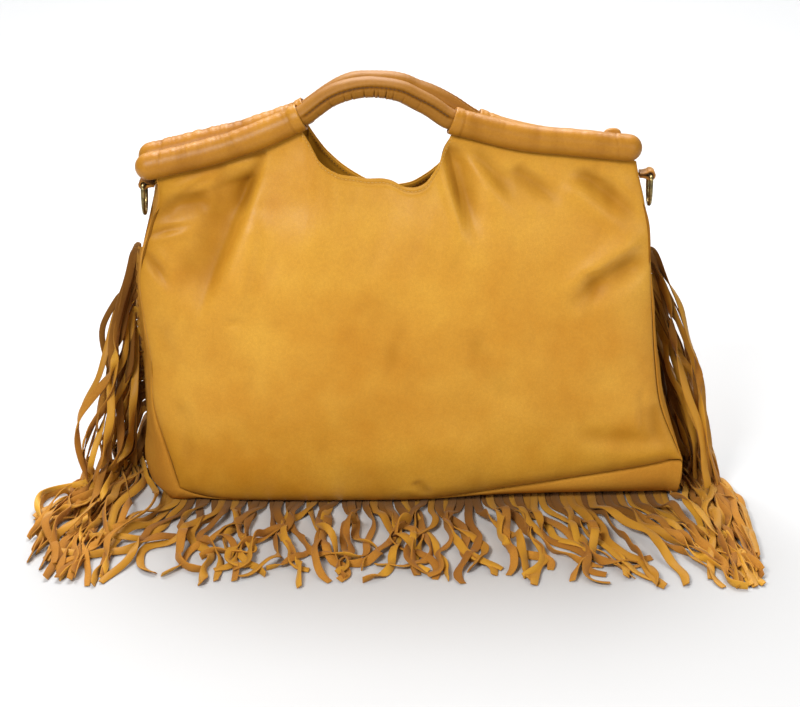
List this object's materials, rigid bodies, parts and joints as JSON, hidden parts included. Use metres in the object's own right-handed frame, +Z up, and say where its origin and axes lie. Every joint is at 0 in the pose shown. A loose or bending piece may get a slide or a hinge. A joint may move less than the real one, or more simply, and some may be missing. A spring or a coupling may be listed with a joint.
{
  "type": "fringed leather handbag",
  "caption": "Soft stuffed leather handbag with two arched padded handles, a scooped hand opening, D-rings at its ends and a long strip fringe round the lower seam.",
  "frame": {"origin": "on the surface that the bag stands on, under the middle of the body, on the underside of the middle strip of the bottom fringe", "axes": "+X to the right across the bag seen from its back panel, +Y from the back panel to the front panel, +Z up"},
  "size_m": [0.6023, 0.2486, 0.3616],
  "materials": {
    "body_leather": "smooth full-grain nappa, soft semi-gloss with patina",
    "handle_leather": "smooth full-grain nappa over padding, gathered at the seams",
    "fringe_suede": "smooth outside, matt suede inside",
    "ring_metal": "dark antique brass"
  },
  "bodies": {
    "bag": {"back_panel": "body_leather", "front_panel": "body_leather", "gusset": "body_leather", "back_sleeve_left": "handle_leather", "back_sleeve_right": "handle_leather", "front_sleeve_left": "handle_leather", "front_sleeve_right": "handle_leather", "back_handle": "handle_leather", "front_handle": "handle_leather", "ring_tab_left": "handle_leather", "ring_tab_right": "handle_leather", "end_tab": "handle_leather", "bottom_fringe": "fringe_suede", "left_fringe": "fringe_suede", "right_fringe": "fringe_suede"},
    "left_ring": {"ring_left": "ring_metal"},
    "right_ring": {"ring_right": "ring_metal"}
  },
  "joints": [
    {"name": "left_ring_swing", "type": "hinge", "parent": "bag", "child": "left_ring", "pos_m": [-0.19693, 0, 0.27], "axis": [0, 1, 0], "range_deg": [-5, 100]},
    {"name": "right_ring_swing", "type": "hinge", "parent": "bag", "child": "right_ring", "pos_m": [0.21171, 0, 0.2778], "axis": [0, -1, 0], "range_deg": [-5, 100]}
  ]
}
